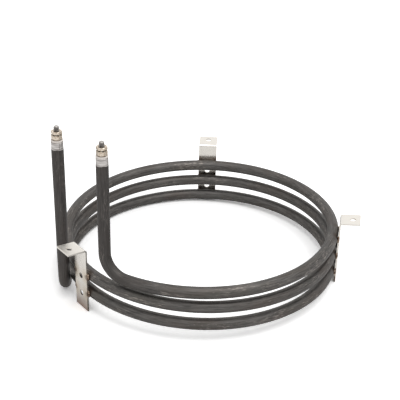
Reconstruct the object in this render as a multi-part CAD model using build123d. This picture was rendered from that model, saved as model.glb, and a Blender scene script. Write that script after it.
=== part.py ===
from build123d import *
from math import asin, cos, degrees, pi, radians, sin, sqrt
import os

# Round tubular heating element: one sheathed tube wound into three turns, its two ends turned up into
# terminal legs, standing on three strip brackets welded to the outside of the turns.
# Millimetres. +Z is up, the origin is on the axis of the turns at the level of the bracket feet,
# and the terminal legs stand at the front left (-X, -Y). Azimuths are in degrees from +X towards +Y.

# ---- heated tube ----
tube_od = 9.0
tube_wall = 0.7
coil_radius = 107.0           # axis of the turns to the centreline of the tube
coil_pitch = 14.8             # drop for each full turn
coil_start_azimuth = 243.0    # where the top turn begins
coil_sweep = 1021.5           # from the start of the top turn to the end of the bottom turn
top_level_sweep = 105.0       # stretch at the start of the top turn that lies level
bottom_level_sweep = 60.0     # stretch at the end of the bottom turn that lies level
arc_step = 15.0               # length of one arc of the turns
floor_gap = 0.25              # bottom turn above the bracket feet

# ---- terminal legs ----
leg_bend_radius = 18.0
right_leg_run = 4.0           # straight run between the top turn and the bend of its leg
left_leg_run = 30.5           # straight run between the bottom turn and the bend of its leg
right_leg_height = 134.3      # end of the sheath above the bracket feet
left_leg_height = 131.9
bare_end_length = 5.3         # ground bright below each end of the sheath
bare_end_od = 8.8

# ---- inside the tube ----
wire_coil_od = 3.2
wire_coil_id = 2.2
cold_length = 50.0            # unheated end of each leg, filled by the shank of the terminal pin
fit_gap = 0.05                # radial gap between nested pieces

# ---- terminals ----
stud_diameter = 4.0
stud_stand = 3.6              # stud above the outer nut
stud_chamfer = 0.6
seal_depth = 6.0
bush_spigot = 3.0
bush_neck_od = 8.2
bush_neck = 0.3               # shadow gap between the sheath and the flange of the bush
bush_flange_od = 8.8
bush_flange = 1.2
washer_od = 7.0
washer_thickness = 0.5
nut_width = 7.0               # across flats
inner_nut_height = 3.2
outer_nut_height = 2.2
nut_chamfer_angle = 30.0
lock_washer_od = 8.0
lock_washer_body_od = 6.4
lock_washer_thickness = 0.8
lock_washer_teeth = 10

# ---- strip brackets ----
bracket_azimuths = {"rear": 87.0, "left": 218.5, "right": 350.0}
strip_width = 16.0
strip_thickness = 1.2
strip_bend_radius = 0.8       # inside of the bend
bracket_over_coil = 9.15      # corner of the bend above the tube of the top turn
flange_length = 15.8          # from the face against the coil
flange_rise_angle = 4.9       # flange points up by this much
hole_diameter = 4.5
flange_hole_distance = 10.0   # from the face against the coil
lower_hole_height = 13.0
strip_hole_spacing = 15.2

# ---- welds ----
weld_radius = 1.3
weld_length = 5.4
weld_offset = 0.5             # centre of the bead beside the edge of the strip

# ---- derived sizes ----
tube_radius = tube_od / 2
bore_radius = tube_radius - tube_wall
filling_radius = bore_radius - fit_gap
arc_count = round(coil_sweep / arc_step)
step_angle = coil_sweep / arc_count
top_level_arcs = round(top_level_sweep / step_angle)
bottom_level_arcs = round(bottom_level_sweep / step_angle)
descent_arcs = arc_count - top_level_arcs - bottom_level_arcs
step_drop = coil_pitch * step_angle / 360
coil_bottom = floor_gap + tube_radius
coil_top = coil_bottom + descent_arcs * step_drop
corner_radius = coil_radius / cos(radians(step_angle / 2))
corner_spacing = 2 * corner_radius * sin(radians(step_angle / 2))
descent_step = 2 * degrees(asin(sqrt(corner_spacing**2 - step_drop**2) / (2 * corner_radius)))
bracket_height = coil_top + tube_radius + bracket_over_coil
strip_face_radius = coil_radius + tube_radius + fit_gap


def at_azimuth(azimuth, radius, height):
    """Point at an azimuth, a distance from the axis of the turns and a height."""
    return Vector(radius * cos(radians(azimuth)), radius * sin(radians(azimuth)), height)


def tangent_at(azimuth):
    """Level direction in which the tube runs at an azimuth, from the top turn towards the bottom one."""
    return Vector(-sin(radians(azimuth)), cos(radians(azimuth)), 0)


def coil_corners():
    """Azimuth and height of each corner of the polygon that the arcs of the turns round off.

    All its sides are equally long, so each arc touches its two sides at their middles.
    """
    azimuth, height = coil_start_azimuth + step_angle / 2, coil_top
    corners = [(azimuth, height)]
    for side in range(1, arc_count):
        descends = top_level_arcs <= side < top_level_arcs + descent_arcs
        azimuth += descent_step if descends else step_angle
        height -= step_drop if descends else 0
        corners.append((azimuth, height))
    return corners


corners = coil_corners()
coil_end_azimuth = corners[-1][0] + step_angle / 2
right_leg_foot = at_azimuth(coil_start_azimuth, coil_radius, coil_top) - tangent_at(coil_start_azimuth) * (
    right_leg_run + leg_bend_radius
)
left_leg_foot = at_azimuth(coil_end_azimuth, coil_radius, corners[-1][1]) + tangent_at(coil_end_azimuth) * (
    left_leg_run + leg_bend_radius
)


def element_path(leg_shortening):
    """Centreline of the tube from one leg end to the other, each leg shortened by the same length."""
    points = [at_azimuth(azimuth, corner_radius, height) for azimuth, height in corners]
    start = at_azimuth(coil_start_azimuth, coil_radius, coil_top)
    end = at_azimuth(coil_end_azimuth, coil_radius, corners[-1][1])
    joins = [start] + [(a + b) * 0.5 for a, b in zip(points, points[1:])] + [end]

    right_top = Vector(right_leg_foot.X, right_leg_foot.Y, right_leg_height - leg_shortening)
    left_top = Vector(left_leg_foot.X, left_leg_foot.Y, left_leg_height - leg_shortening)
    up = Vector(0, 0, 1)
    right_bend = [
        right_leg_foot + up * leg_bend_radius,
        right_leg_foot + tangent_at(coil_start_azimuth) * leg_bend_radius,
    ]
    left_bend = [
        left_leg_foot - tangent_at(coil_end_azimuth) * leg_bend_radius,
        left_leg_foot + up * leg_bend_radius,
    ]

    edges = [Edge.make_line(right_top, right_bend[0])]
    edges.append(Edge.make_tangent_arc(right_bend[0], -up, right_bend[1]))
    edges.append(Edge.make_line(right_bend[1], joins[0]))
    for before, corner, after in zip(joins, points, joins[1:]):
        edges.append(Edge.make_tangent_arc(before, corner - before, after))
    edges.append(Edge.make_line(joins[-1], left_bend[0]))
    edges.append(Edge.make_tangent_arc(left_bend[0], tangent_at(coil_end_azimuth), left_bend[1]))
    edges.append(Edge.make_line(left_bend[1], left_top))
    return Wire(edges)


def along_element(outer_radius, inner_radius, leg_shortening):
    """Round tube, or rod where the inner radius is 0, that follows the centreline."""
    path = element_path(leg_shortening)
    section = Circle(outer_radius)
    if inner_radius:
        section -= Circle(inner_radius)
    return sweep(Plane(path @ 0, z_dir=path % 0) * section, path=path)


def ring(outer_radius, inner_radius, bottom, top):
    """Upright ring, or disc where the inner radius is 0, between two heights on the Z axis."""
    body = Cylinder(outer_radius, top - bottom, align=(Align.CENTER, Align.CENTER, Align.MIN))
    if inner_radius:
        body -= Cylinder(inner_radius, top - bottom, align=(Align.CENTER, Align.CENTER, Align.MIN))
    return Pos(0, 0, bottom) * body


# ---- sheath, filling and resistance wire ----


def make_sheath():
    """Steel tube with a short ground end on each leg."""
    sheath = along_element(tube_radius, bore_radius, 0)
    for foot, height in ((right_leg_foot, right_leg_height), (left_leg_foot, left_leg_height)):
        skin = ring(tube_od, bare_end_od / 2, height - bare_end_length, height)
        sheath -= Pos(foot.X, foot.Y, 0) * skin
    return sheath


def make_magnesia_fill():
    """Pressed magnesia around the wire coil, and the core of it inside the wire coil."""
    around = along_element(filling_radius, wire_coil_od / 2 + fit_gap, bush_spigot + seal_depth)
    core = along_element(wire_coil_id / 2 - fit_gap, 0, cold_length)
    return Compound(children=[around.solid(), core.solid()])


def make_resistance_coil():
    """Hollow round envelope of the close-wound resistance wire between the two terminal pins."""
    return along_element(wire_coil_od / 2, wire_coil_id / 2, cold_length)


# ---- terminal pieces, modelled about the Z axis with the end of the sheath at Z = 0 ----

washer_bottom = bush_neck + bush_flange
inner_nut_bottom = washer_bottom + washer_thickness
lock_washer_bottom = inner_nut_bottom + inner_nut_height
outer_nut_bottom = lock_washer_bottom + lock_washer_thickness
stud_top = outer_nut_bottom + outer_nut_height + stud_stand
thread_clear_radius = stud_diameter / 2 + fit_gap


def make_terminal_pin():
    """Threaded stud with a thinner shank that reaches down to the resistance wire."""
    stud = ring(stud_diameter / 2, 0, -bush_spigot - seal_depth, stud_top)
    stud = chamfer(stud.edges().sort_by(Axis.Z)[-1], stud_chamfer)
    return stud + ring(wire_coil_od / 2, 0, -cold_length, -bush_spigot - seal_depth)


def make_end_seal():
    """Silicone plug that closes the filling against damp."""
    return ring(filling_radius, thread_clear_radius, -bush_spigot - seal_depth, -bush_spigot)


def make_insulator_bush():
    """Ceramic bush that centres the stud in the mouth of the sheath, with a neck below its flange."""
    spigot = ring(filling_radius, thread_clear_radius, -bush_spigot, 0)
    neck = ring(bush_neck_od / 2, thread_clear_radius, 0, bush_neck)
    return spigot + neck + ring(bush_flange_od / 2, thread_clear_radius, bush_neck, washer_bottom)


def make_flat_washer():
    return ring(washer_od / 2, thread_clear_radius, washer_bottom, inner_nut_bottom)


def make_nut(bottom, nut_height):
    """Hexagon nut with its corners chamfered on both faces."""
    blank = extrude(RegularPolygon(nut_width / 2, 6, major_radius=False), nut_height)
    corner = nut_width / sqrt(3)
    cone_drop = (corner - nut_width / 2) * sin(radians(nut_chamfer_angle)) / cos(radians(nut_chamfer_angle))
    lathe = Polyline(
        (0, 0),
        (nut_width / 2, 0),
        (corner, cone_drop),
        (corner, nut_height - cone_drop),
        (nut_width / 2, nut_height),
        (0, nut_height),
        close=True,
    )
    turned = revolve(Plane.XZ * make_face(lathe), Axis.Z)
    return Pos(0, 0, bottom) * ((blank & turned) - ring(thread_clear_radius, 0, 0, nut_height))


def make_lock_washer():
    """Lock washer with a ring of teeth around its edge."""
    washer = ring(lock_washer_od / 2, thread_clear_radius, lock_washer_bottom, outer_nut_bottom)
    tooth_pitch = pi * lock_washer_od / lock_washer_teeth
    notch = Box(
        lock_washer_od - lock_washer_body_od,
        tooth_pitch * 0.4,
        lock_washer_thickness,
        align=(Align.MIN, Align.CENTER, Align.MIN),
    )
    for tooth in range(lock_washer_teeth):
        turn = Rot(0, 0, 360 * tooth / lock_washer_teeth)
        washer -= turn * Pos(lock_washer_body_od / 2, 0, lock_washer_bottom) * notch
    return washer


# ---- strip brackets, modelled with the face against the coil on the YZ plane, outwards along +X ----


def make_bracket():
    """Steel strip bent outwards at its top, with one hole in the flange and two in the upright."""
    rise = radians(flange_rise_angle)
    top_end = (flange_length, bracket_height + flange_length * sin(rise) / cos(rise))
    under_end = (top_end[0] + strip_thickness * sin(rise), top_end[1] - strip_thickness * cos(rise))
    inner_corner_height = (
        bracket_height + strip_thickness * sin(rise) / cos(rise) - strip_thickness / cos(rise)
    )
    outline = Polyline(
        (0, 0),
        (0, bracket_height),
        top_end,
        under_end,
        (strip_thickness, inner_corner_height),
        (strip_thickness, 0),
        close=True,
    )
    side = make_face(outline)
    side = fillet(side.vertices().sort_by_distance((0, bracket_height))[0], strip_bend_radius + strip_thickness)
    inner_corner = (strip_thickness, inner_corner_height)
    side = fillet(side.vertices().sort_by_distance(inner_corner)[0], strip_bend_radius)
    bracket = extrude(Plane.XZ * side, strip_width / 2, both=True)

    drill_length = 4 * strip_thickness
    upright_drill = Rot(0, 90, 0) * Cylinder(hole_diameter / 2, drill_length)
    for hole in range(2):
        bracket -= Pos(strip_thickness / 2, 0, lower_hole_height + hole * strip_hole_spacing) * upright_drill
    flange_point = Pos(flange_hole_distance, 0, bracket_height + flange_hole_distance * sin(rise) / cos(rise))
    bracket -= flange_point * Rot(0, -flange_rise_angle, 0) * Cylinder(hole_diameter / 2, drill_length)
    return bracket


def pass_heights(azimuth):
    """Heights of the tube's centreline wherever the turns pass an azimuth."""
    heights = []
    unwound = azimuth
    while unwound < coil_end_azimuth:
        if unwound > coil_start_azimuth:
            descended = unwound - coil_start_azimuth - (top_level_arcs - 0.5) * step_angle
            descended = min(max(descended, 0), descent_arcs * step_angle)
            heights.append(coil_top - coil_pitch * descended / 360)
        unwound += 360
    return heights


def make_welds(azimuth, bracket, sheath):
    """Weld beads where both edges of a strip cross the tube, shaped by the strip and the tube."""
    straight = weld_length - 2 * weld_radius
    bead = Cylinder(weld_radius, straight)
    for end in (-1, 1):
        bead += Pos(0, 0, end * straight / 2) * Sphere(weld_radius)
    beads = []
    for height in pass_heights(azimuth):
        for edge in (-1, 1):
            spot = Pos(strip_face_radius, edge * (strip_width / 2 + weld_offset), height)
            placed = Rot(0, 0, azimuth) * spot * bead
            beads.append((placed - bracket - sheath).solids().sort_by(SortBy.VOLUME)[-1])
    return Compound(children=beads)


# ---- build and write every piece ----

sheath = make_sheath()
pieces = {
    "sheath": sheath,
    "magnesia_fill": make_magnesia_fill(),
    "resistance_coil": make_resistance_coil(),
}

terminal_pieces = {
    "terminal_pin": make_terminal_pin(),
    "end_seal": make_end_seal(),
    "insulator_bush": make_insulator_bush(),
    "flat_washer": make_flat_washer(),
    "inner_nut": make_nut(inner_nut_bottom, inner_nut_height),
    "lock_washer": make_lock_washer(),
    "outer_nut": make_nut(outer_nut_bottom, outer_nut_height),
}
for side, foot, height in (
    ("right", right_leg_foot, right_leg_height),
    ("left", left_leg_foot, left_leg_height),
):
    for name, piece in terminal_pieces.items():
        pieces[f"{side}_{name}"] = Pos(foot.X, foot.Y, height) * piece

bracket = make_bracket()
for side, azimuth in bracket_azimuths.items():
    placed = Rot(0, 0, azimuth) * Pos(strip_face_radius, 0, 0) * bracket
    pieces[f"{side}_bracket"] = placed
    pieces[f"{side}_bracket_welds"] = make_welds(azimuth, placed, sheath)

os.makedirs("parts", exist_ok=True)
for name, piece in pieces.items():
    export_step(piece, f"parts/{name}.step")

print("leg positions", right_leg_foot, left_leg_foot)
print("coil top, bottom", coil_top, coil_bottom, "bracket height", bracket_height)
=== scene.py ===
from math import atan, atan2, cos, degrees, hypot, pi, radians, sin, sqrt, tan

import bpy
from mathutils import Matrix, Vector


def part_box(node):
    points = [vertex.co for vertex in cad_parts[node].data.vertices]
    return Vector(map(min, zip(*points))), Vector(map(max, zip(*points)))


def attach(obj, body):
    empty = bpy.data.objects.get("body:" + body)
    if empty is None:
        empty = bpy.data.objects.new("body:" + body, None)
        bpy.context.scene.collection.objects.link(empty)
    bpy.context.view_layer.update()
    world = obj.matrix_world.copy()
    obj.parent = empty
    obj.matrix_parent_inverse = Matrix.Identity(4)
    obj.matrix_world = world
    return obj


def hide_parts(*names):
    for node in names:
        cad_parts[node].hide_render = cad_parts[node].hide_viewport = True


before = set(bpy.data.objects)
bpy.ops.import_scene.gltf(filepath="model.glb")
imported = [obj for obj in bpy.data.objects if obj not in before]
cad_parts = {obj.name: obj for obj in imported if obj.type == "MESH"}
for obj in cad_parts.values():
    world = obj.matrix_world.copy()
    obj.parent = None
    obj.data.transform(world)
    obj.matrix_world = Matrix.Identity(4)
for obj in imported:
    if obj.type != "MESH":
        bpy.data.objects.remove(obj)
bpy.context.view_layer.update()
MM = 0.001


# ---- Sheath ----
# One long stainless steel tube, filled, drawn down to size, wound into three turns and bent up at
# each end. Heat has turned it dark grey, with the drawing lines still in it. The last millimetres
# of both ends are ground bright, where the terminals are fitted.

tube_radius = 4.5 * MM
tube_wall = 0.7 * MM
ground_radius = 4.4 * MM
ground_length = 5.3 * MM
ground_step = 0.1 * MM          # length of the slope between the ground end and the skin
rim_round = 0.1 * MM
spigot_length = 3 * MM          # of the bush that stands in each end
coil_radius = 107 * MM
coil_pitch = 14.8 * MM
descent_start = 97.64           # degrees that the top turn runs level
descent_sweep = 856.26          # degrees over which the turns descend
leg_bend_radius = 18 * MM
right_leg_run = 4 * MM          # straight run between the top turn and the bend of its leg
left_leg_run = 30.5 * MM
turn_step = 2.0                 # degrees between two rings of the mesh in the turns
bend_step = 4.0                 # and in the bends
section_resolution = 18         # gives 40 sides
tube_crease = 40                # degrees, past which an edge of the tube stays sharp
merge_distance = 0.001 * MM


def leg_axis(side):
    """Where a leg stands and how high its sheath reaches, read from the pieces in its end."""
    low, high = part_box(f"{side}_terminal_pin")
    seal_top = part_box(f"{side}_end_seal")[1].z
    return Vector(((low.x + high.x) / 2, (low.y + high.y) / 2, seal_top + spigot_length))


def around(azimuth, radius, height=0.0):
    """Point at an azimuth in degrees, a distance from the axis of the turns and a height."""
    return Vector((radius * cos(radians(azimuth)), radius * sin(radians(azimuth)), height))


def tangent_at(azimuth):
    """Level direction of the tube at an azimuth, from the top turn towards the bottom one."""
    return Vector((-sin(radians(azimuth)), cos(radians(azimuth)), 0))


legs = {side: leg_axis(side) for side in ("right", "left")}
coil_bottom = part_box("sheath")[0].z + tube_radius
coil_top = coil_bottom + coil_pitch * descent_sweep / 360
leg_azimuths = {side: degrees(atan2(axis.y, axis.x)) for side, axis in legs.items()}
right_reach = degrees(atan((right_leg_run + leg_bend_radius) / coil_radius))
left_reach = degrees(atan((left_leg_run + leg_bend_radius) / coil_radius))
coil_start = leg_azimuths["right"] + right_reach + 360
coil_end = leg_azimuths["left"] - left_reach + 1440


def coil_height(azimuth):
    """Height of the centreline of the turns at an unwound azimuth in degrees."""
    descended = min(max(azimuth - coil_start - descent_start, 0), descent_sweep)
    return coil_top - coil_pitch * descended / 360


def leg_points(side, level, outwards):
    """Centreline of a leg from its end to the turns; outwards is the way from them to the leg."""
    axis = legs[side]
    ends = [0, rim_round, ground_length, ground_length + ground_step]
    points = [Vector((axis.x, axis.y, axis.z - down)) for down in ends]
    centre = Vector((axis.x, axis.y, level + leg_bend_radius)) - outwards * leg_bend_radius
    steps = round(90 / bend_step)
    for step in range(steps + 1):
        angle = radians(90 * step / steps)
        swing = outwards * cos(angle) - Vector((0, 0, sin(angle)))
        points.append(centre + swing * leg_bend_radius)
    return points


def centreline():
    """Every ring centre of the tube, from the end of the right leg to the end of the left leg."""
    points = leg_points("right", coil_top, -tangent_at(coil_start))
    steps = round((coil_end - coil_start) / turn_step)
    for step in range(steps + 1):
        azimuth = coil_start + (coil_end - coil_start) * step / steps
        points.append(around(azimuth, coil_radius, coil_height(azimuth)))
    return points + leg_points("left", coil_bottom, tangent_at(coil_end))[::-1]


def select_only(piece):
    """Makes one piece the only selected and the active one."""
    bpy.ops.object.select_all(action="DESELECT")
    piece.select_set(True)
    bpy.context.view_layer.objects.active = piece


def apply_modifier(piece, kind, **settings):
    """Adds a modifier with its settings and applies it."""
    select_only(piece)
    modifier = piece.modifiers.new(kind.lower(), kind)
    for name, value in settings.items():
        setattr(modifier, name, value)
    bpy.ops.object.modifier_apply(modifier=modifier.name)


def put_in_scene(name, data):
    """A new object that holds the data."""
    holder = bpy.data.objects.new(name, data)
    bpy.context.collection.objects.link(holder)
    return holder


def close_mesh():
    """Merges the doubles of the active piece and turns its faces outwards."""
    bpy.ops.object.mode_set(mode="EDIT")
    bpy.ops.mesh.select_all(action="SELECT")
    bpy.ops.mesh.remove_doubles(threshold=merge_distance)
    bpy.ops.mesh.normals_make_consistent(inside=False)
    bpy.ops.object.mode_set(mode="OBJECT")


def make_wound_tube():
    """The tube as a round line along the centreline, made a mesh and given its wall."""
    points = centreline()
    line = bpy.data.curves.new("wound_tube", "CURVE")
    line.dimensions = "3D"
    line.bevel_depth = tube_radius
    line.bevel_resolution = section_resolution
    spline = line.splines.new("POLY")
    spline.points.add(len(points) - 1)
    for knot, point in zip(spline.points, points):
        knot.co = (*point, 1)
    for first, second, third in ((0, 1, 2), (-1, -2, -3)):
        spline.points[first].radius = (ground_radius - rim_round) / tube_radius
        spline.points[second].radius = ground_radius / tube_radius
        spline.points[third].radius = ground_radius / tube_radius
    select_only(put_in_scene("wound_tube", line))
    bpy.ops.object.convert(target="MESH")
    tube = bpy.context.object

    # "straight" holds each point's place on the tube before it was wound: across, across, along
    sides = len(tube.data.vertices) // len(points)
    lengths = [0.0]
    for before, after in zip(points, points[1:]):
        lengths.append(lengths[-1] + (after - before).length)
    straight = tube.data.attributes.new("straight", "FLOAT_VECTOR", "POINT")
    for index, entry in enumerate(straight.data):
        turn = 2 * pi * (index % sides) / sides
        entry.vector = (tube_radius * cos(turn), tube_radius * sin(turn), lengths[index // sides])

    close_mesh()
    apply_modifier(tube, "SOLIDIFY", thickness=tube_wall, offset=-1.0, use_rim=True)
    bpy.ops.object.shade_smooth_by_angle(angle=radians(tube_crease))
    return tube, lengths[-1]


def colour(hex_code):
    """An sRGB hex colour as linear values, opaque."""
    channels = [int(hex_code[i:i + 2], 16) / 255 for i in (1, 3, 5)]
    return [c / 12.92 if c <= 0.04045 else ((c + 0.055) / 1.055) ** 2.4 for c in channels] + [1.0]


def add_node(tree, kind, inputs=(), **settings):
    """Adds a node with its settings; each input is given a value, or a socket to link it to."""
    node = tree.nodes.new("ShaderNode" + kind)
    for name, value in settings.items():
        setattr(node, name, value)
    for name, value in dict(inputs).items():
        if isinstance(value, bpy.types.NodeSocket):
            tree.links.new(value, node.inputs[name])
        else:
            node.inputs[name].default_value = value
    return node


def new_material(name, metallic, roughness):
    """A material, its node tree and its shader, with the values that are the same all over."""
    material = bpy.data.materials.new(name)
    material.use_nodes = True
    shader = material.node_tree.nodes["Principled BSDF"]
    shader.inputs["Metallic"].default_value = metallic
    shader.inputs["Roughness"].default_value = roughness
    return material, material.node_tree, shader


bracket_azimuths = {"rear": 87.0, "left": 218.5, "right": 350.0}
strip_width = 16 * MM


def heat_darkened_stainless(tube_length):
    """Stainless steel 304 tube, drawn and darkened by heat: satin, streaked lengthwise, scuffed."""
    material, tree, shader = new_material("heat_darkened_stainless", 0.9, 0.45)
    straight = add_node(tree, "Attribute", attribute_name="straight")
    place = add_node(tree, "TexCoord")

    # four patterns on the tube: their spacing across and along it, their detail and roughness
    patterns = []
    for across, along, detail, coarseness in (
        (0.8 * MM, 12 * MM, 4.0, 0.7),          # lines left by the drawing; the real ones are finer
        (9 * MM, 30 * MM, 2.0, 0.5),            # clouds of paler, browner and greener oxide
        (0.6 * MM, 4 * MM, 2.0, 0.6),           # scuffs through the oxide
        (12 * MM, 0.7 * MM, 2.0, 0.6),          # rings turned into the ground ends
    ):
        stretched = add_node(tree, "Mapping", {
            "Vector": straight.outputs["Vector"], "Scale": (1 / across, 1 / across, 1 / along),
        })
        patterns.append(add_node(tree, "TexNoise", {
            "Vector": stretched.outputs[0], "Scale": 1.0, "Detail": detail, "Roughness": coarseness,
        }))
    streaks, clouds, scuffs, rings = patterns

    # the scuffs crowd where the tube has been rubbed
    split_clouds = add_node(tree, "SeparateColor", {"Color": clouds.outputs["Color"]})
    crowding = add_node(tree, "MapRange", {
        "Value": split_clouds.outputs["Blue"],
        "From Min": 0.42, "From Max": 0.66, "To Min": -0.09, "To Max": 0.11,
    })
    crowded = add_node(tree, "Math", {
        0: scuffs.outputs["Fac"], 1: crowding.outputs[0],
    }, operation="ADD")

    # grey streaks under brown oxide, green oxide and bare scuffs, each up to its greatest share
    streak_share = add_node(tree, "MapRange", {
        "Value": streaks.outputs["Fac"], "From Min": 0.3, "From Max": 0.7,
    })
    skin = add_node(tree, "Mix", {
        0: streak_share.outputs[0], 6: colour("#3e3c3b"), 7: colour("#767370"),
    }, data_type="RGBA")
    for pattern, none_at, most_at, most, tone in (
        (split_clouds.outputs["Red"], 0.45, 0.7, 0.4, "#5a5049"),
        (split_clouds.outputs["Green"], 0.48, 0.75, 0.4, "#4b4c47"),
        (crowded.outputs[0], 0.6, 0.76, 0.55, "#a8a099"),
    ):
        share = add_node(tree, "MapRange", {
            "Value": pattern, "From Min": none_at, "From Max": most_at, "To Max": most,
        })
        skin = add_node(tree, "Mix", {
            0: share.outputs[0], 6: skin.outputs[2], 7: colour(tone),
        }, data_type="RGBA")

    # brown tint that the welding heat has left beside the edges of each strip
    tint = None
    for azimuth in bracket_azimuths.values():
        across = add_node(tree, "VectorMath", {
            0: place.outputs["Object"], 1: tangent_at(azimuth),
        }, operation="DOT_PRODUCT")
        outwards = add_node(tree, "VectorMath", {
            0: place.outputs["Object"], 1: around(azimuth, 1.0),
        }, operation="DOT_PRODUCT")
        off_centre = add_node(tree, "Math", {0: across.outputs["Value"]}, operation="ABSOLUTE")
        off_edge = add_node(tree, "Math", {
            0: off_centre.outputs[0], 1: strip_width / 2,
        }, operation="SUBTRACT")
        from_edge = add_node(tree, "Math", {0: off_edge.outputs[0]}, operation="ABSOLUTE")
        fade = add_node(tree, "MapRange", {
            "Value": from_edge.outputs[0],
            "From Min": 1 * MM, "From Max": 4 * MM, "To Min": 1.0, "To Max": 0.0,
        }, interpolation_type="SMOOTHSTEP")
        outer_side = add_node(tree, "MapRange", {
            "Value": outwards.outputs["Value"],
            "From Min": coil_radius - 1 * MM, "From Max": coil_radius + 2.5 * MM,
        })
        spot = add_node(tree, "Math", {
            0: fade.outputs[0], 1: outer_side.outputs[0],
        }, operation="MULTIPLY")
        if tint is None:
            tint = spot
        else:
            tint = add_node(tree, "Math", {
                0: tint.outputs[0], 1: spot.outputs[0],
            }, operation="MAXIMUM")
    tint_share = add_node(tree, "Math", {0: tint.outputs[0], 1: 0.6}, operation="MULTIPLY")
    tinted = add_node(tree, "Mix", {
        0: tint_share.outputs[0], 6: skin.outputs[2], 7: colour("#443328"),
    }, data_type="RGBA")

    # painted shade: the legs are mixed towards a plainer dark grey, for the dimmer light that their
    # upright sides mirror
    split = add_node(tree, "SeparateXYZ", {"Vector": straight.outputs["Vector"]})
    from_far_end = add_node(tree, "Math", {
        0: tube_length, 1: split.outputs["Z"],
    }, operation="SUBTRACT")
    from_end = add_node(tree, "Math", {
        0: split.outputs["Z"], 1: from_far_end.outputs[0],
    }, operation="MINIMUM")
    leg_shade_share = add_node(tree, "MapRange", {
        "Value": from_end.outputs[0],
        "From Min": 90 * MM, "From Max": 150 * MM, "To Min": 0.55, "To Max": 0.0,
    })
    darkened = add_node(tree, "Mix", {
        0: leg_shade_share.outputs[0], 6: tinted.outputs[2], 7: colour("#3f3b3a"),
    }, data_type="RGBA")

    # the ground ends are bright down to a lower edge with three scallops 0.45 mm deep
    turn = add_node(tree, "Math", {
        0: split.outputs["Y"], 1: split.outputs["X"],
    }, operation="ARCTAN2")
    lobes = add_node(tree, "Math", {0: turn.outputs[0], 1: 1.5}, operation="MULTIPLY")
    wave = add_node(tree, "Math", {0: lobes.outputs[0]}, operation="SINE")
    scallop = add_node(tree, "Math", {0: wave.outputs[0]}, operation="ABSOLUTE")
    edge = add_node(tree, "Math", {
        0: scallop.outputs[0], 1: -0.45 * MM, 2: from_end.outputs[0],
    }, operation="MULTIPLY_ADD")
    ground = add_node(tree, "MapRange", {
        "Value": edge.outputs[0],
        "From Min": ground_length - 0.25 * MM, "From Max": ground_length,
        "To Min": 1.0, "To Max": 0.0,
    })
    ring_share = add_node(tree, "MapRange", {
        "Value": rings.outputs["Fac"], "From Min": 0.35, "From Max": 0.62,
    })
    ground_steel = add_node(tree, "Mix", {
        0: ring_share.outputs[0], 6: colour("#8f8985"), 7: colour("#dedad7"),
    }, data_type="RGBA")
    finished = add_node(tree, "Mix", {
        0: ground.outputs[0], 6: darkened.outputs[2], 7: ground_steel.outputs[2],
    }, data_type="RGBA")
    tree.links.new(finished.outputs[2], shader.inputs["Base Color"])

    skin_roughness = add_node(tree, "MapRange", {
        "Value": streaks.outputs["Fac"],
        "From Min": 0.3, "From Max": 0.7, "To Min": 0.42, "To Max": 0.6,
    })
    roughness = add_node(tree, "Mix", {
        0: ground.outputs[0], 2: skin_roughness.outputs[0], 3: 0.3,
    })
    tree.links.new(roughness.outputs[0], shader.inputs["Roughness"])

    relief = add_node(tree, "Mix", {0: 0.35, 2: streaks.outputs["Fac"], 3: scuffs.outputs["Fac"]})
    bump = add_node(tree, "Bump", {
        "Height": relief.outputs[0], "Strength": 0.35, "Distance": 0.06 * MM,
    })
    tree.links.new(bump.outputs[0], shader.inputs["Normal"])
    return material


def dress(piece, material, node):
    """Gives a finished piece its material, slot and body, and hides the CAD node that it stands
    for.
    """
    piece.data.materials.clear()
    piece.data.materials.append(material)
    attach(piece, "root")
    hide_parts(node)


wound_tube, tube_length = make_wound_tube()
dress(wound_tube, heat_darkened_stainless(tube_length), "sheath")


# ---- Filling, resistance wire and end seals ----
# White magnesia powder pressed hard round a close-wound helix of resistance wire, and a plug of
# red-brown silicone rubber that closes each end against damp. All of it is inside the sealed tube.

def fine_grained(name, metallic, roughness, texture, output, settings, tones, relief):
    """A material whose tone and relief follow one pattern; relief is a strength and a depth."""
    material, tree, shader = new_material(name, metallic, roughness)
    place = add_node(tree, "TexCoord")
    grain = add_node(tree, texture, {"Vector": place.outputs["Object"], **settings})
    tone = add_node(tree, "Mix", {
        0: grain.outputs[output], 6: colour(tones[0]), 7: colour(tones[1]),
    }, data_type="RGBA")
    tree.links.new(tone.outputs[2], shader.inputs["Base Color"])
    bump = add_node(tree, "Bump", {
        "Height": grain.outputs[output], "Strength": relief[0], "Distance": relief[1],
    })
    tree.links.new(bump.outputs[0], shader.inputs["Normal"])
    return material


def pressed_magnesia():
    """Magnesium oxide powder, pressed until it holds: matt, chalky, faintly speckled."""
    return fine_grained(
        "pressed_magnesia", 0.0, 0.95, "TexVoronoi", "Distance", {"Scale": 1 / (0.3 * MM)},
        ("#efece4", "#d6d1c5"), (0.4, 0.1 * MM),
    )


def resistance_wire():
    """Nickel-chrome wire, drawn and close wound: grey satin with turns 0.6 mm apart."""
    band_spacing = 2 * pi / 20      # of a wave pattern at a scale of 1
    return fine_grained(
        "nickel_chrome_wire", 1.0, 0.4, "TexWave", "Fac",
        {"Scale": band_spacing / (0.6 * MM), "Distortion": 1.5, "Detail": 1.0},
        ("#6d6a66", "#a5a19b"), (0.5, 0.1 * MM),
    )


def poured_silicone():
    """Silicone rubber, poured and cured in the end of the tube: red-brown, soft sheen."""
    return fine_grained(
        "poured_silicone", 0.0, 0.5, "TexNoise", "Fac", {"Scale": 1 / (1.5 * MM)},
        ("#8a3a2a", "#a4503c"), (0.2, 0.1 * MM),
    )


def finish_node(node, material):
    """Gives a CAD node that stays its material."""
    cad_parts[node].data.materials.clear()
    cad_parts[node].data.materials.append(material)


finish_node("magnesia_fill", pressed_magnesia())
finish_node("resistance_coil", resistance_wire())
seal_rubber = poured_silicone()
for side in legs:
    finish_node(f"{side}_end_seal", seal_rubber)


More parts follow.
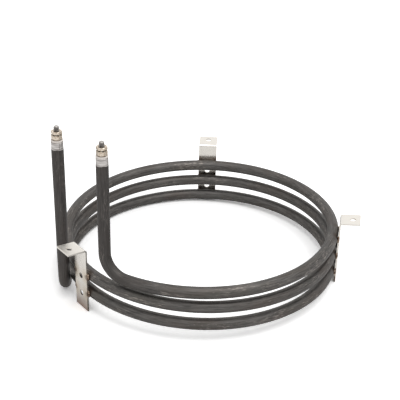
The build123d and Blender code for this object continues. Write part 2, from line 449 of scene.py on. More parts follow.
# ---- Terminal pins ----
# A steel stud with a rolled M4 thread, chamfered at its end, and below it a thinner shank that
# runs down the leg to the resistance wire. It carries the current in, and the rest of the terminal
# is threaded over it.

stud_radius = 2 * MM
shank_radius = 1.6 * MM
thread_pitch = 0.7 * MM
thread_depth = 0.43 * MM
thread_overrun = 0.3 * MM       # past both ends, before it is trimmed
spare_turns = 2                 # wound past each end, before they are cut off
stud_chamfer = 0.6 * MM
shank_chamfer = 0.2 * MM
turning_steps = 64
crease_angle = 35               # degrees, past which an edge of a small piece stays sharp


def draw_outline(name, outline, closed):
    """Draws an outline of (across, up) points in the XZ plane by pulling a vertex along it."""
    bpy.ops.object.select_all(action="DESELECT")
    bpy.ops.mesh.primitive_plane_add(size=MM)
    piece = bpy.context.object
    piece.name = name
    bpy.ops.object.mode_set(mode="EDIT")
    bpy.ops.mesh.select_all(action="SELECT")
    bpy.ops.mesh.merge(type="CENTER")
    bpy.ops.transform.translate(value=(outline[0][0], 0, outline[0][1]))
    for before, after in zip(outline, outline[1:]):
        step = (after[0] - before[0], 0, after[1] - before[1])
        bpy.ops.mesh.extrude_region_move(TRANSFORM_OT_translate={"value": step})
    bpy.ops.mesh.select_all(action="SELECT")
    if closed:
        bpy.ops.mesh.edge_face_add()
    return piece


def turn_on_lathe(name, outline, steps=turning_steps):
    """Turns an outline of (radius, height) points about the Z axis and closes it."""
    piece = draw_outline(name, outline, closed=False)
    bpy.ops.mesh.spin(steps=steps, angle=2 * pi, center=(0, 0, 0), axis=(0, 0, 1))
    close_mesh()
    return piece


def combine(piece, tool, operation):
    """Cuts, joins or trims a piece with a second body, which is used up."""
    apply_modifier(piece, "BOOLEAN", operation=operation, object=tool, solver="EXACT")
    bpy.data.objects.remove(tool)


def cut_thread(bottom, top):
    """A rolled 60 degree thread between two heights, closed flat at both ends."""
    root = stud_radius - thread_depth
    flat = thread_pitch / 8
    profile = [
        (root, 0), (root, flat),
        (stud_radius, thread_pitch / 2 - flat / 2), (stud_radius, thread_pitch / 2 + flat / 2),
        (root, thread_pitch - flat), (root, thread_pitch),
    ]
    thread = draw_outline("thread", profile, closed=False)
    bpy.ops.transform.translate(value=(0, 0, bottom - spare_turns * thread_pitch))
    bpy.ops.object.mode_set(mode="OBJECT")
    turns = round((top - bottom) / thread_pitch) + 2 * spare_turns
    apply_modifier(
        thread, "SCREW", axis="Z", angle=2 * pi, screw_offset=thread_pitch, iterations=turns,
        steps=turning_steps // 2, render_steps=turning_steps // 2,
        use_merge_vertices=True, merge_threshold=merge_distance,
    )
    bpy.ops.object.mode_set(mode="EDIT")
    for height, direction in ((bottom, -1), (top, 1)):
        bpy.ops.mesh.select_all(action="SELECT")
        bpy.ops.mesh.bisect(
            plane_co=(0, 0, height), plane_no=(0, 0, direction), use_fill=True, clear_outer=True,
            threshold=merge_distance / 10,
        )
    close_mesh()
    return thread


def make_threaded_pin():
    """Shank, plain part and threaded stud as one piece, with the bottom of the shank at Z = 0."""
    low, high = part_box("right_terminal_pin")
    length = high.z - low.z
    stud_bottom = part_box("right_end_seal")[0].z - low.z
    thread_bottom = legs["right"].z - low.z
    pin = turn_on_lathe("terminal_pin", [
        (0, 0), (shank_radius - shank_chamfer, 0), (shank_radius, shank_chamfer),
        (shank_radius, stud_bottom), (stud_radius, stud_bottom), (stud_radius, thread_bottom),
        (0, thread_bottom),
    ])
    thread = cut_thread(thread_bottom - thread_overrun, length + thread_overrun)
    blank_radius = stud_radius * 1.01       # just clear of the crests
    blank = turn_on_lathe("blank", [
        (0, 0), (blank_radius, 0), (blank_radius, length - stud_chamfer),
        (stud_radius - stud_chamfer, length), (0, length),
    ])
    combine(thread, blank, "INTERSECT")
    combine(pin, thread, "UNION")
    return pin


def smooth_shading(piece):
    """Shades rounded edges smooth and lets the large flat faces stay flat."""
    select_only(piece)
    bpy.ops.object.shade_smooth_by_angle(angle=radians(crease_angle))
    apply_modifier(piece, "WEIGHTED_NORMAL", keep_sharp=True, weight=100)


def set_copy(piece, name, move, material, node):
    """Moves a copy of a piece to the place of the CAD node that it stands for, and dresses it."""
    copy = put_in_scene(name, piece.data.copy())
    copy.data.transform(move)
    dress(copy, material, node)


def set_on_both_legs(piece, part, new_name, material):
    """Sets a copy of a piece, made standing on Z = 0, in the place of the same part on each leg."""
    smooth_shading(piece)
    for side in legs:
        low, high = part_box(f"{side}_{part}")
        move = Matrix.Translation(((low.x + high.x) / 2, (low.y + high.y) / 2, low.z))
        set_copy(piece, f"{side}_{new_name}", move, material, f"{side}_{part}")
    bpy.data.objects.remove(piece)


def rolled_stud_steel():
    """Plain carbon steel, thread rolled: dull grey-brown roots, crests rubbed paler."""
    material, tree, shader = new_material("rolled_stud_steel", 1.0, 0.38)
    place = add_node(tree, "TexCoord")
    stain = add_node(tree, "TexNoise", {
        "Vector": place.outputs["Object"], "Scale": 1 / (1.2 * MM), "Detail": 3.0, "Roughness": 0.6,
    })
    shape = add_node(tree, "NewGeometry")
    worn = add_node(tree, "MapRange", {
        "Value": shape.outputs["Pointiness"], "From Min": 0.5, "From Max": 0.58,
    })
    steel = add_node(tree, "Mix", {
        0: stain.outputs["Fac"], 6: colour("#5f5a56"), 7: colour("#8a8581"),
    }, data_type="RGBA")
    rubbed = add_node(tree, "Mix", {
        0: worn.outputs[0], 6: steel.outputs[2], 7: colour("#bab6b2"),
    }, data_type="RGBA")
    tree.links.new(rubbed.outputs[2], shader.inputs["Base Color"])
    bump = add_node(tree, "Bump", {
        "Height": stain.outputs["Fac"], "Strength": 0.2, "Distance": 0.03 * MM,
    })
    tree.links.new(bump.outputs[0], shader.inputs["Normal"])
    return material


set_on_both_legs(
    make_threaded_pin(), "terminal_pin", "threaded_pin", rolled_stud_steel(),
)


# ---- Insulator bushes ----
# Off-white steatite ceramic, pressed and fired: a spigot that centres the stud in the mouth of the
# tube, a short neck, and a round flange that keeps the washer off the sheath.

bore_radius = 2.05 * MM
spigot_radius = 3.75 * MM
neck_radius = 4.1 * MM
neck_length = 0.3 * MM
flange_radius = 4.4 * MM
fired_edge = 0.25 * MM


def rounded(corner, before, after, radius, steps=3):
    """Points of a quarter round at a square corner, whose sides lead to before and to after."""
    to_before = Vector(before).normalized() * radius
    to_after = Vector(after).normalized() * radius
    centre = Vector(corner) + to_before + to_after
    return [
        tuple(centre - to_after * cos(pi / 2 * k / steps) - to_before * sin(pi / 2 * k / steps))
        for k in range(steps + 1)
    ]


def make_ceramic_bush():
    """The bush, standing on the end of its spigot."""
    low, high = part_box("right_insulator_bush")
    height = high.z - low.z
    flange_bottom = spigot_length + neck_length
    outline = [(bore_radius, 0)]
    outline += rounded((spigot_radius, 0), (-1, 0), (0, 1), fired_edge)
    outline += [
        (spigot_radius, spigot_length), (neck_radius, spigot_length), (neck_radius, flange_bottom),
    ]
    outline += rounded((flange_radius, flange_bottom), (-1, 0), (0, 1), fired_edge)
    outline += rounded((flange_radius, height), (0, -1), (-1, 0), fired_edge)
    outline += [(bore_radius, height), (bore_radius, 0)]
    return turn_on_lathe("bush", outline)


def fired_steatite():
    """Steatite ceramic, dry pressed and fired unglazed: warm off-white with a fine, faint grain."""
    return fine_grained(
        "fired_steatite", 0.0, 0.55, "TexNoise", "Fac",
        {"Scale": 1 / (0.5 * MM), "Detail": 4.0, "Roughness": 0.7},
        ("#d0c7bf", "#f0eae5"), (0.25, 0.05 * MM),
    )


set_on_both_legs(
    make_ceramic_bush(), "insulator_bush", "ceramic_bush", fired_steatite(),
)


# ---- Flat washers ----
# Thin stamped steel rings, zinc plated, between the ceramic flange and the full nut, coloured near
# black as painted shade in the narrow gap under the nut. Their upper edge is rounded where the
# punch pressed it.

punched_edge = 0.12 * MM


def make_flat_washer():
    """The washer, standing on its lower face."""
    low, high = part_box("right_flat_washer")
    radius, height = (high.x - low.x) / 2, high.z - low.z
    outline = [(bore_radius, 0), (radius, 0)]
    outline += rounded((radius, height), (0, -1), (-1, 0), punched_edge)
    outline += [(bore_radius, height), (bore_radius, 0)]
    return turn_on_lathe("washer", outline)


def zinc_steel_with_painted_shade():
    """Mild steel, stamped and zinc plated, painted near black for the shade in the gap under the
    nut, with a soft mottled bloom.
    """
    material, tree, shader = new_material("zinc_steel_with_painted_shade", 1.0, 0.42)
    place = add_node(tree, "TexCoord")
    bloom = add_node(tree, "TexNoise", {
        "Vector": place.outputs["Object"], "Scale": 1 / (0.9 * MM), "Detail": 3.0, "Roughness": 0.6,
    })
    tone = add_node(tree, "Mix", {
        0: bloom.outputs["Fac"], 6: colour("#241f1b"), 7: colour("#6e645b"),
    }, data_type="RGBA")
    tree.links.new(tone.outputs[2], shader.inputs["Base Color"])
    roughness = add_node(tree, "MapRange", {
        "Value": bloom.outputs["Fac"], "To Min": 0.34, "To Max": 0.52,
    })
    tree.links.new(roughness.outputs[0], shader.inputs["Roughness"])
    return material


set_on_both_legs(
    make_flat_washer(), "flat_washer", "stamped_washer", zinc_steel_with_painted_shade(),
)


# ---- Hexagon nuts ----
# Two M4 nuts on each stud, 7 mm across flats, in pale plated brass: a full one that clamps the
# terminal and a thin one for the lead. Both are chamfered on their corners and countersunk at the
# bore.

nut_width = 7 * MM
nut_corner = nut_width / sqrt(3)
chamfer_angle = 30
countersink = 0.35 * MM
nut_edge = 0.05 * MM            # rounding of its edges, and start of the chamfer inside its flats
nut_rounded_from = 25           # degrees, past which an edge of it is rounded
overcut = 0.1 * MM              # of the chamfering body past the corners


def make_hexagon_nut(node):
    """A nut as high as its CAD node, standing on its lower face with two corners along X."""
    low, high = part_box(node)
    height = high.z - low.z
    bpy.ops.object.select_all(action="DESELECT")
    bpy.ops.mesh.primitive_cylinder_add(
        vertices=6, radius=nut_corner, depth=height, location=(0, 0, height / 2),
        rotation=(0, 0, radians(30)),
    )
    nut = bpy.context.object
    nut.name = "nut"
    bpy.ops.object.transform_apply(location=True, rotation=True, scale=True)
    drop = (nut_corner - nut_width / 2) * tan(radians(chamfer_angle))
    face_radius, outside = nut_width / 2 - nut_edge, nut_corner + overcut
    corner_body = turn_on_lathe("corner_body", [
        (0, 0), (face_radius, 0), (outside, drop + nut_edge), (outside, height - drop - nut_edge),
        (face_radius, height), (0, height),
    ])
    combine(nut, corner_body, "INTERSECT")
    mouth_radius = bore_radius + countersink + MM       # of the countersink, 1 mm outside the nut
    drill = turn_on_lathe("drill", [
        (0, -MM), (mouth_radius, -MM), (bore_radius, countersink),
        (bore_radius, height - countersink), (mouth_radius, height + MM), (0, height + MM),
    ])
    combine(nut, drill, "DIFFERENCE")
    apply_modifier(
        nut, "BEVEL", width=nut_edge, segments=2, limit_method="ANGLE",
        angle_limit=radians(nut_rounded_from),
    )
    return nut


def plated_brass():
    """Brass bar, turned and thinly nickel plated: pale cream-gold, satin, unevenly dulled."""
    material, tree, shader = new_material("plated_brass", 1.0, 0.3)
    place = add_node(tree, "TexCoord")
    wear = add_node(tree, "TexNoise", {
        "Vector": place.outputs["Object"], "Scale": 1 / MM, "Detail": 3.0, "Roughness": 0.65,
    })
    share = add_node(tree, "MapRange", {
        "Value": wear.outputs["Fac"], "From Min": 0.3, "From Max": 0.7,
    })
    tone = add_node(tree, "Mix", {
        0: share.outputs[0], 6: colour("#a78f73"), 7: colour("#fcf3e6"),
    }, data_type="RGBA")
    tree.links.new(tone.outputs[2], shader.inputs["Base Color"])
    roughness = add_node(tree, "MapRange", {
        "Value": wear.outputs["Fac"],
        "From Min": 0.3, "From Max": 0.7, "To Min": 0.4, "To Max": 0.24,
    })
    tree.links.new(roughness.outputs[0], shader.inputs["Roughness"])
    bump = add_node(tree, "Bump", {
        "Height": wear.outputs["Fac"], "Strength": 0.15, "Distance": 0.03 * MM,
    })
    tree.links.new(bump.outputs[0], shader.inputs["Normal"])
    return material


nut_brass = plated_brass()
for part, new_name in (("inner_nut", "full_nut"), ("outer_nut", "thin_nut")):
    nut = make_hexagon_nut(f"right_{part}")
    set_on_both_legs(nut, part, new_name, nut_brass)


# ---- Toothed lock washers ----
# Spring steel rings with ten teeth round their edge, each twisted a little so that it bites into
# both nuts. They show as a row of dark notches between the nuts.

tooth_count = 10
sides_per_tooth = 5             # two carry the tooth, three are the gap
tooth_root_radius = 3.1 * MM
ring_thickness = 0.45 * MM
corner_reach = 0.3 * MM         # a corner of a tip lies further than this from its middle


def deselect_mesh():
    """Deselects the whole mesh of the active piece and leaves edit mode."""
    bpy.ops.object.mode_set(mode="EDIT")
    bpy.ops.mesh.select_all(action="DESELECT")
    bpy.ops.object.mode_set(mode="OBJECT")


def make_lock_washer():
    """The washer, with its twisted teeth reaching from Z = 0 to the height of its CAD node."""
    low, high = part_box("right_lock_washer")
    tip_radius, height = (high.y - low.y) / 2, high.z - low.z
    twist = (height - ring_thickness) / 2
    bpy.ops.object.select_all(action="DESELECT")
    bpy.ops.mesh.primitive_cylinder_add(
        vertices=tooth_count * sides_per_tooth, radius=tooth_root_radius, depth=ring_thickness,
        location=(0, 0, height / 2),
    )
    washer = bpy.context.object
    bpy.ops.object.transform_apply(location=True, rotation=True, scale=True)
    for tooth in range(tooth_count):
        azimuth = 360 * (tooth + 0.5) / tooth_count
        middle = around(azimuth, 1.0)
        half_tooth = radians(360 / tooth_count / sides_per_tooth)
        deselect_mesh()
        for face in washer.data.polygons:
            flat = Vector((face.center.x, face.center.y, 0))
            on_side = abs(face.normal.z) < 0.5 and flat.length > tooth_root_radius * 0.9
            face.select = on_side and middle.angle(flat) < half_tooth
        bpy.ops.object.mode_set(mode="EDIT")
        bpy.ops.mesh.extrude_region_move(
            TRANSFORM_OT_translate={"value": middle * (tip_radius - tooth_root_radius)}
        )
        bpy.ops.object.mode_set(mode="OBJECT")
        tip = [v.index for v in washer.data.vertices if v.select]
        for direction in (-1, 1):
            side_way = tangent_at(azimuth) * direction
            deselect_mesh()
            for index in tip:
                vertex = washer.data.vertices[index]
                vertex.select = vertex.co.dot(side_way) > corner_reach
            bpy.ops.object.mode_set(mode="EDIT")
            bpy.ops.transform.translate(value=(0, 0, twist * direction))
            bpy.ops.object.mode_set(mode="OBJECT")
    drill = turn_on_lathe("drill", [
        (0, -MM), (bore_radius, -MM), (bore_radius, 2 * MM), (0, 2 * MM),
    ])
    combine(washer, drill, "DIFFERENCE")

    # "reach" goes from 0 on the ring to 1 at the tips of the teeth
    reach = washer.data.attributes.new("reach", "FLOAT", "POINT")
    for vertex, entry in zip(washer.data.vertices, reach.data):
        from_axis = hypot(vertex.co.x, vertex.co.y)
        entry.value = (from_axis - tooth_root_radius) / (tip_radius - tooth_root_radius)
    return washer


def spring_steel_with_painted_shade():
    """Hardened spring steel, its teeth rubbed bright, with painted shade in the gaps between them.
    """
    material, tree, shader = new_material("spring_steel_with_painted_shade", 1.0, 0.4)
    place = add_node(tree, "TexCoord")
    film = add_node(tree, "TexNoise", {
        "Vector": place.outputs["Object"], "Scale": 1 / (0.8 * MM), "Detail": 2.0,
    })
    rubbed = add_node(tree, "MapRange", {
        "Value": film.outputs["Fac"], "From Min": 0.36, "From Max": 0.56,
    })
    teeth = add_node(tree, "Mix", {
        0: rubbed.outputs[0], 6: colour("#8a7a62"), 7: colour("#e6dac3"),
    }, data_type="RGBA")
    reach = add_node(tree, "Attribute", attribute_name="reach")
    tooth_out_of_shade = add_node(tree, "MapRange", {
        "Value": reach.outputs["Fac"], "From Min": 0.35, "From Max": 0.9,
    })
    # painted shade: the ring and the roots of the teeth go near black, for the shade between the
    # nuts
    tone = add_node(tree, "Mix", {
        0: tooth_out_of_shade.outputs[0], 6: colour("#15110e"), 7: teeth.outputs[2],
    }, data_type="RGBA")
    tree.links.new(tone.outputs[2], shader.inputs["Base Color"])
    bump = add_node(tree, "Bump", {
        "Height": film.outputs["Fac"], "Strength": 0.2, "Distance": 0.03 * MM,
    })
    tree.links.new(bump.outputs[0], shader.inputs["Normal"])
    return material


set_on_both_legs(
    make_lock_washer(), "lock_washer", "toothed_washer", spring_steel_with_painted_shade(),
)


# ---- Strip brackets ----
# Three lengths of 16 x 1.2 mm stainless steel strip, punched with three holes and bent outwards at
# the top. They stand against the outside of the turns, to which they are welded, and carry the
# element.

strip_thickness = 1.2 * MM
bend_inside_radius = 0.8 * MM
flange_rise = radians(4.9)
flange_length = 15.8 * MM
coil_gap = 0.05 * MM            # between the strip and the outside of the tube
bend_rise = 9.15 * MM           # of the outside of the bend above the top turn
bracket_height = coil_top + tube_radius + bend_rise
hole_radius = 2.25 * MM
flange_hole_distance = 10 * MM
upright_holes = (13 * MM, 28.2 * MM)
strip_face_radius = coil_radius + tube_radius + coil_gap
bend_segments = 8
strip_edge = 0.12 * MM          # rounding of its edges
strip_rounded_from = 50         # degrees, past which an edge of it is rounded


def bevel_corner(piece, corner, radius):
    """Rounds the corner of the strip's outline that is nearest to a point with a radius."""
    tangent_length = radius * tan((pi / 2 - flange_rise) / 2)
    deselect_mesh()
    nearest = min(piece.data.vertices, key=lambda v: hypot(v.co.x - corner[0], v.co.z - corner[1]))
    nearest.select = True
    bpy.ops.object.mode_set(mode="EDIT")
    bpy.ops.mesh.select_mode(type="VERT")
    bpy.ops.mesh.bevel(
        offset=tangent_length, offset_type="OFFSET", segments=bend_segments, affect="VERTICES",
        profile=0.5,
    )


def make_bent_strip():
    """One bracket with its face against the coil on the YZ plane and its flange along +X."""
    slope = tan(flange_rise)
    outer_corner = (0, bracket_height)
    inner_corner = (
        strip_thickness,
        bracket_height + strip_thickness * slope - strip_thickness / cos(flange_rise),
    )
    top_end = (flange_length, bracket_height + flange_length * slope)
    under_end = (
        top_end[0] + strip_thickness * sin(flange_rise),
        top_end[1] - strip_thickness * cos(flange_rise),
    )
    strip = draw_outline("strip", [
        (0, 0), outer_corner, top_end, under_end, inner_corner, (strip_thickness, 0),
    ], closed=True)
    bevel_corner(strip, outer_corner, bend_inside_radius + strip_thickness)
    bevel_corner(strip, inner_corner, bend_inside_radius)
    bpy.ops.mesh.select_all(action="SELECT")
    bpy.ops.transform.translate(value=(0, -strip_width / 2, 0))
    bpy.ops.mesh.extrude_region_move(TRANSFORM_OT_translate={"value": (0, strip_width, 0)})
    close_mesh()

    flange_point = Vector((flange_hole_distance, 0, bracket_height + flange_hole_distance * slope))
    punches = [(Vector((0, 0, height)), pi / 2) for height in upright_holes]
    punches.append((flange_point, -flange_rise))
    reach = 3 * strip_thickness
    for point, tilt in punches:
        punch = turn_on_lathe("punch", [
            (0, -reach), (hole_radius, -reach), (hole_radius, reach), (0, reach),
        ], steps=48)
        punch.data.transform(Matrix.Translation(point) @ Matrix.Rotation(tilt, 4, "Y"))
        combine(strip, punch, "DIFFERENCE")
    apply_modifier(
        strip, "BEVEL", width=strip_edge, segments=2, limit_method="ANGLE",
        angle_limit=radians(strip_rounded_from),
    )
    smooth_shading(strip)

    # "strip" holds each point's place on the bracket as it was on the bench: out, across, up
    bench = strip.data.attributes.new("strip", "FLOAT_VECTOR", "POINT")
    for vertex, entry in zip(strip.data.vertices, bench.data):
        entry.vector = vertex.co
    return strip


def pass_heights(azimuth):
    """Heights of the tube's centreline wherever the turns pass a bracket."""
    passes = [azimuth + 360 * turn for turn in range(4)]
    return [coil_height(unwound) for unwound in passes if coil_start < unwound < coil_end]


def brushed_strip(name, heights):
    """Stainless steel 304 strip, brushed lengthwise: pale and satin, browned by the welding and
    darkened towards its foot by painted shade.
    """
    material, tree, shader = new_material(name, 1.0, 0.3)
    bench = add_node(tree, "Attribute", attribute_name="strip")
    split = add_node(tree, "SeparateXYZ", {"Vector": bench.outputs["Vector"]})
    along = add_node(tree, "Math", {0: split.outputs["X"], 1: split.outputs["Z"]}, operation="ADD")

    # brushing lines 0.5 mm apart and 20 mm long; the real ones are finer
    grain_place = add_node(tree, "CombineXYZ", {"X": split.outputs["Y"], "Y": along.outputs[0]})
    grain_scale = add_node(tree, "Mapping", {
        "Vector": grain_place.outputs[0], "Scale": (1 / (0.5 * MM), 1 / (20 * MM), 1),
    })
    grain = add_node(tree, "TexNoise", {
        "Vector": grain_scale.outputs[0], "Scale": 1.0, "Detail": 3.0, "Roughness": 0.6,
    })
    smears = add_node(tree, "TexNoise", {
        "Vector": bench.outputs["Vector"], "Scale": 1 / (5 * MM), "Detail": 4.0, "Roughness": 0.65,
    })
    clean = add_node(tree, "Mix", {
        0: grain.outputs["Fac"], 6: colour("#e4dfd7"), 7: colour("#f4f0e9"),
    }, data_type="RGBA")

    # distance to the nearest weld, taken in the plane of the strip
    nearest = None
    for height in heights:
        for edge in (-1, 1):
            across = add_node(tree, "Math", {
                0: split.outputs["Y"], 1: edge * strip_width / 2,
            }, operation="SUBTRACT")
            up = add_node(tree, "Math", {0: split.outputs["Z"], 1: height}, operation="SUBTRACT")
            flat = add_node(tree, "CombineXYZ", {"X": across.outputs[0], "Y": up.outputs[0]})
            reach = add_node(tree, "VectorMath", {0: flat.outputs[0]}, operation="LENGTH")
            if nearest is None:
                nearest = reach.outputs["Value"]
            else:
                nearest = add_node(tree, "Math", {
                    0: nearest, 1: reach.outputs["Value"],
                }, operation="MINIMUM").outputs[0]
    ragged = add_node(tree, "Math", {
        0: smears.outputs["Fac"], 1: 3.5 * MM, 2: nearest,
    }, operation="MULTIPLY_ADD")

    # heat tint on the outer face, straw at its rim and brown beside the bead, and over them a dull
    # brown towards the lower end, partly heat tint and partly painted shade for the shadowed floor
    # mirrored there
    outer_face = add_node(tree, "MapRange", {
        "Value": split.outputs["X"], "From Min": 0.3 * MM, "From Max": strip_thickness - 0.1 * MM,
    })
    ragged_height = add_node(tree, "Math", {
        0: smears.outputs["Fac"], 1: 9 * MM, 2: split.outputs["Z"],
    }, operation="MULTIPLY_ADD")
    tinted = clean
    for distance, near, far, most, fading, tone in (
        (ragged, 4.5 * MM, 12 * MM, 0.6, "SMOOTHSTEP", "#d3c4ae"),
        (ragged, 3 * MM, 5 * MM, 0.7, "SMOOTHSTEP", "#75604f"),
        (ragged_height, 6 * MM, 17 * MM, 0.85, "LINEAR", "#94796a"),
    ):
        heat = add_node(tree, "MapRange", {
            "Value": distance.outputs[0],
            "From Min": near, "From Max": far, "To Min": most, "To Max": 0.0,
        }, interpolation_type=fading)
        share = add_node(tree, "Math", {
            0: heat.outputs[0], 1: outer_face.outputs[0],
        }, operation="MULTIPLY")
        tinted = add_node(tree, "Mix", {
            0: share.outputs[0], 6: tinted.outputs[2], 7: colour(tone),
        }, data_type="RGBA")

    # painted shade: the edges and the inner face, which stand close against the turns, darken
    # towards the lower end
    from_middle = add_node(tree, "Math", {0: split.outputs["Y"]}, operation="ABSOLUTE")
    edge_face = add_node(tree, "MapRange", {
        "Value": from_middle.outputs[0],
        "From Min": strip_width / 2 - strip_edge, "From Max": strip_width / 2 - strip_edge / 3,
    })
    inner_face = add_node(tree, "Math", {0: 1.0, 1: outer_face.outputs[0]}, operation="SUBTRACT")
    shaded_faces = add_node(tree, "Math", {
        0: edge_face.outputs[0], 1: inner_face.outputs[0],
    }, operation="MAXIMUM")
    low_end = add_node(tree, "MapRange", {
        "Value": ragged_height.outputs[0],
        "From Min": min(heights) - 1 * MM, "From Max": min(heights) + 4 * MM,
        "To Min": 0.95, "To Max": 0.0,
    })
    painted_foot_shade = add_node(tree, "Math", {
        0: low_end.outputs[0], 1: shaded_faces.outputs[0],
    }, operation="MULTIPLY")
    finished = add_node(tree, "Mix", {
        0: painted_foot_shade.outputs[0], 6: tinted.outputs[2], 7: colour("#4b4133"),
    }, data_type="RGBA")
    tree.links.new(finished.outputs[2], shader.inputs["Base Color"])

    # the bent flange has been scuffed in the press and is the duller part
    upright_roughness = add_node(tree, "MapRange", {
        "Value": smears.outputs["Fac"],
        "From Min": 0.3, "From Max": 0.7, "To Min": 0.18, "To Max": 0.28,
    })
    scuffed = add_node(tree, "MapRange", {
        "Value": split.outputs["X"], "From Min": 1.2 * MM, "From Max": 4 * MM, "To Max": 0.22,
    })
    roughness = add_node(tree, "Math", {
        0: upright_roughness.outputs[0], 1: scuffed.outputs[0],
    }, operation="ADD")
    tree.links.new(roughness.outputs[0], shader.inputs["Roughness"])
    bump = add_node(tree, "Bump", {
        "Height": grain.outputs["Fac"], "Strength": 0.1, "Distance": 0.03 * MM,
    })
    tree.links.new(bump.outputs[0], shader.inputs["Normal"])
    return material


bent_strip = make_bent_strip()
for side, azimuth in bracket_azimuths.items():
    move = Matrix.Rotation(radians(azimuth), 4, "Z") @ Matrix.Translation((strip_face_radius, 0, 0))
    strip_steel = brushed_strip(f"brushed_strip_{side}", pass_heights(azimuth))
    set_copy(
        bent_strip, f"{side}_bent_strip", move, strip_steel, f"{side}_bracket",
    )
bpy.data.objects.remove(bent_strip)


# ---- Weld beads ----
# Short upright beads of filler metal, laid where each edge of a strip crosses the tube. The torch
# left ripples across them and a brown heat tint.

bead_radius = 1.3 * MM
bead_length = 5.4 * MM
bead_offset = 0.5 * MM          # beside the edge of the strip
ripple_spacing = 0.85 * MM
ripple_depth = 0.1 * MM
first_lean = -8.0               # degrees
lean_step = 4.0                 # by which each bead leans further than the last


def make_weld_bead(spot, lean):
    """One rippled bead, standing upright at a point beside a strip."""
    bpy.ops.object.select_all(action="DESELECT")
    bpy.ops.mesh.primitive_uv_sphere_add(segments=20, ring_count=24, radius=bead_radius)
    bead = bpy.context.object
    bpy.ops.object.mode_set(mode="EDIT")
    bpy.ops.mesh.select_all(action="SELECT")
    bpy.ops.transform.resize(value=(1, 1, bead_length / (2 * bead_radius)))
    bpy.ops.object.mode_set(mode="OBJECT")
    for vertex in bead.data.vertices:
        across = Vector((vertex.co.x, vertex.co.y, 0))
        ripple = cos(2 * pi * vertex.co.z / ripple_spacing + across.x / bead_radius + lean)
        if across.length > 0:
            fade = min(1, across.length / bead_radius * 2)
            vertex.co += across.normalized() * ripple * ripple_depth * fade
    bead.data.transform(Matrix.Translation(spot) @ Matrix.Rotation(radians(lean), 4, "X"))
    return bead


def tinted_weld():
    """Stainless weld metal: uneven and satin, crowns pale straw-grey and hollows dark brown."""
    material, tree, shader = new_material("tinted_weld_metal", 1.0, 0.4)
    place = add_node(tree, "TexCoord")
    flow = add_node(tree, "TexNoise", {
        "Vector": place.outputs["Object"], "Scale": 1 / (2.2 * MM), "Detail": 3.0, "Roughness": 0.6,
    })
    ramp = add_node(tree, "ValToRGB", {"Fac": flow.outputs["Fac"]})
    ramp.color_ramp.elements[0].position = 0.36
    ramp.color_ramp.elements[0].color = colour("#352b23")
    ramp.color_ramp.elements[1].position = 0.66
    ramp.color_ramp.elements[1].color = colour("#b8a898")
    brown = ramp.color_ramp.elements.new(0.5)
    brown.color = colour("#6a574a")
    tree.links.new(ramp.outputs["Color"], shader.inputs["Base Color"])
    bump = add_node(tree, "Bump", {
        "Height": flow.outputs["Fac"], "Strength": 0.3, "Distance": 0.1 * MM,
    })
    tree.links.new(bump.outputs[0], shader.inputs["Normal"])
    return material


weld_metal = tinted_weld()
for side, azimuth in bracket_azimuths.items():
    beads = []
    for height in pass_heights(azimuth):
        for edge in (-1, 1):
            spot = (strip_face_radius, edge * (strip_width / 2 + bead_offset), height)
            beads.append(make_weld_bead(spot, first_lean + lean_step * len(beads)))
    select_only(beads[0])
    for bead in beads:
        bead.select_set(True)
    bpy.ops.object.join()
    welds = bpy.context.object
    welds.name = f"{side}_weld_beads"
    welds.data.transform(Matrix.Rotation(radians(azimuth), 4, "Z"))
    bpy.ops.object.shade_smooth()
    dress(welds, weld_metal, f"{side}_bracket_welds")


# ---- Floor, light and camera ----
# A plain white floor under a white sky, with one large soft lamp overhead, a little to the front
# and right, and the camera above the front, looking down on the turns.

floor_size = 6.0
paper_white = 0.9               # lightness of the paper as matt surfaces see it
paper_mirrored = 0.95           # as metal mirrors it
paper_seen = 1.6                # and as the camera sees it, overexposed
sky_light = 0.7                 # strength of the sky on matt surfaces
sky_seen = 1.0                  # and to the camera and in metal
lamp_place = (0.22, -0.25, 1.1)     # metres
lamp_aim = (0, 0, 0.04)
lamp_size = 0.8
lamp_watts = 4.3


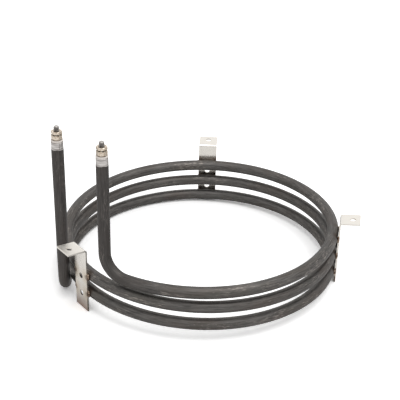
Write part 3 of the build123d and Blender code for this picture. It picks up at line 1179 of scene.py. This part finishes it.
def white_floor():
    """Matt white paper, overexposed for the camera, so that only the closest shadows show."""
    material = bpy.data.materials.new("white_paper")
    material.use_nodes = True
    tree = material.node_tree
    tree.nodes.remove(tree.nodes["Principled BSDF"])
    output = tree.nodes["Material Output"]
    rays = add_node(tree, "LightPath")
    mirrored = add_node(tree, "Math", {
        0: rays.outputs["Is Glossy Ray"], 1: rays.outputs["Is Transmission Ray"],
    }, operation="MAXIMUM")
    plain = add_node(tree, "MapRange", {
        "Value": mirrored.outputs[0], "To Min": paper_white, "To Max": paper_mirrored,
    })
    lightness = add_node(tree, "Math", {
        0: rays.outputs["Is Camera Ray"], 1: paper_seen - paper_white, 2: plain.outputs[0],
    }, operation="MULTIPLY_ADD")
    paper = add_node(tree, "BsdfDiffuse", {"Color": lightness.outputs[0]})
    tree.links.new(paper.outputs[0], output.inputs["Surface"])
    return material


bpy.ops.object.select_all(action="DESELECT")
bpy.ops.mesh.primitive_plane_add(size=floor_size, location=(0, 0, 0))
floor = bpy.context.object
floor.name = "floor"
floor.data.materials.append(white_floor())

world = bpy.data.worlds.new("pale_studio")
bpy.context.scene.world = world
world.use_nodes = True
sky = world.node_tree.nodes["Background"]
sky.inputs["Color"].default_value = colour("#ffffff")
rays = add_node(world.node_tree, "LightPath")
seen = add_node(world.node_tree, "Math", {
    0: rays.outputs["Is Camera Ray"], 1: rays.outputs["Is Glossy Ray"],
}, operation="MAXIMUM")
seen_through = add_node(world.node_tree, "Math", {
    0: seen.outputs[0], 1: rays.outputs["Is Transmission Ray"],
}, operation="MAXIMUM")
strength = add_node(world.node_tree, "MapRange", {
    "Value": seen_through.outputs[0], "To Min": sky_light, "To Max": sky_seen,
})
world.node_tree.links.new(strength.outputs[0], sky.inputs["Strength"])

lamp = bpy.data.lights.new("overhead_lamp", "AREA")
lamp.shape = "SQUARE"
lamp.size = lamp_size
lamp.energy = lamp_watts
lamp_holder = put_in_scene("overhead_lamp", lamp)
lamp_holder.location = lamp_place
lamp_direction = Vector(lamp_aim) - Vector(lamp_place)
lamp_holder.rotation_euler = lamp_direction.to_track_quat("-Z", "Y").to_euler()

picture_width = 400             # pixels
focal_pixels = 932.59
camera_place = (-2.5643 * MM, -657.0906 * MM, 411.3868 * MM)
pitch_down = 0.4946             # radians
turned_right = 0.0033
rolled = 0.0269
camera = bpy.data.cameras.new("camera")
camera.sensor_width = 36
camera.lens = camera.sensor_width * focal_pixels / picture_width
camera.clip_start = 0.01
camera_holder = put_in_scene("camera", camera)
camera_holder.matrix_world = (
    Matrix.Translation(camera_place)
    @ Matrix.Rotation(-turned_right, 4, "Z")
    @ Matrix.Rotation(pi / 2 - pitch_down, 4, "X")
    @ Matrix.Rotation(rolled, 4, "Z")
)
bpy.context.scene.camera = camera_holder
bpy.context.scene.view_settings.view_transform = "Standard"
